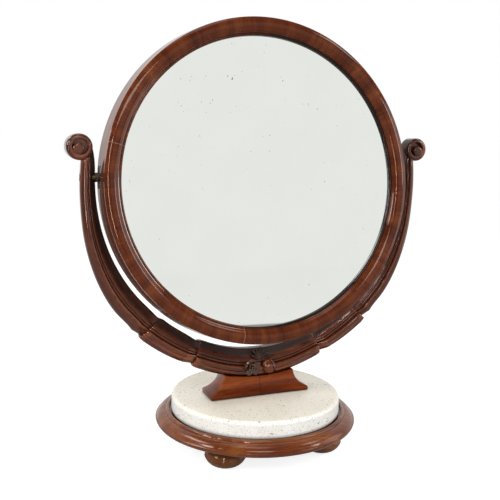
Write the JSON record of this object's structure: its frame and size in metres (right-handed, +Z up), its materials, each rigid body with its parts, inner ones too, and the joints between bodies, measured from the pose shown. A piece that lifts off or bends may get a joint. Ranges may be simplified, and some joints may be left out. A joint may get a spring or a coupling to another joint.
{
  "type": "dressing table mirror",
  "caption": "Round tilting looking glass in a moulded mahogany frame, hung in a carved crescent yoke on a round base with a marble slab and bun feet.",
  "frame": {"origin": "on the table plane, under the axis of the round base", "axes": "+Z up, +Y to the back, +X to the right seen from the front"},
  "size_m": [0.6596, 0.358, 0.7392],
  "materials": {
    "mahogany": "french polished",
    "carved_mahogany": "carved and french polished",
    "cross_banded_mahogany": "cross-grained and french polished",
    "frame_side": "waxed",
    "pine": "unfinished",
    "marble": "polished",
    "looking_glass": "silvered, foxed",
    "brass": "aged",
    "steel": "dull",
    "leather": "plain"
  },
  "bodies": {
    "stand": {"base_board": "mahogany", "foot_front_left": "mahogany", "foot_front_right": "mahogany", "foot_rear_left": "mahogany", "foot_rear_right": "mahogany", "marble_slab": "marble", "plinth_block": "mahogany", "arm_left": "mahogany", "arm_right": "mahogany", "centre_dowels": "pine", "plinth_dowels": "pine", "flower_carving": "carved_mahogany", "fruit_carving": "carved_mahogany", "leaf_sprig": "carved_mahogany", "fixing_bolts": "steel", "bolt_washers": "steel", "pivot_bush_left": "brass", "pivot_bush_right": "brass", "friction_washer_left": "leather", "friction_washer_right": "leather"},
    "mirror": {"frame_core": "frame_side", "frame_moulding_1": "cross_banded_mahogany", "frame_moulding_2": "cross_banded_mahogany", "frame_moulding_3": "cross_banded_mahogany", "frame_moulding_4": "cross_banded_mahogany", "frame_moulding_5": "cross_banded_mahogany", "frame_moulding_6": "cross_banded_mahogany", "mirror_plate": "looking_glass", "glass_blocks": "pine", "backboard": "pine", "backboard_screws": "steel", "pivot_plate_left": "brass", "pivot_plate_right": "brass", "pivot_plate_screws": "steel", "pivot_screw_left": "brass", "pivot_screw_right": "brass"}
  },
  "joints": [
    {"name": "mirror_tilt", "type": "hinge", "parent": "stand", "child": "mirror", "pos_m": [0, 0, 0.474], "axis": [1, 0, 0], "continuous": true}
  ]
}
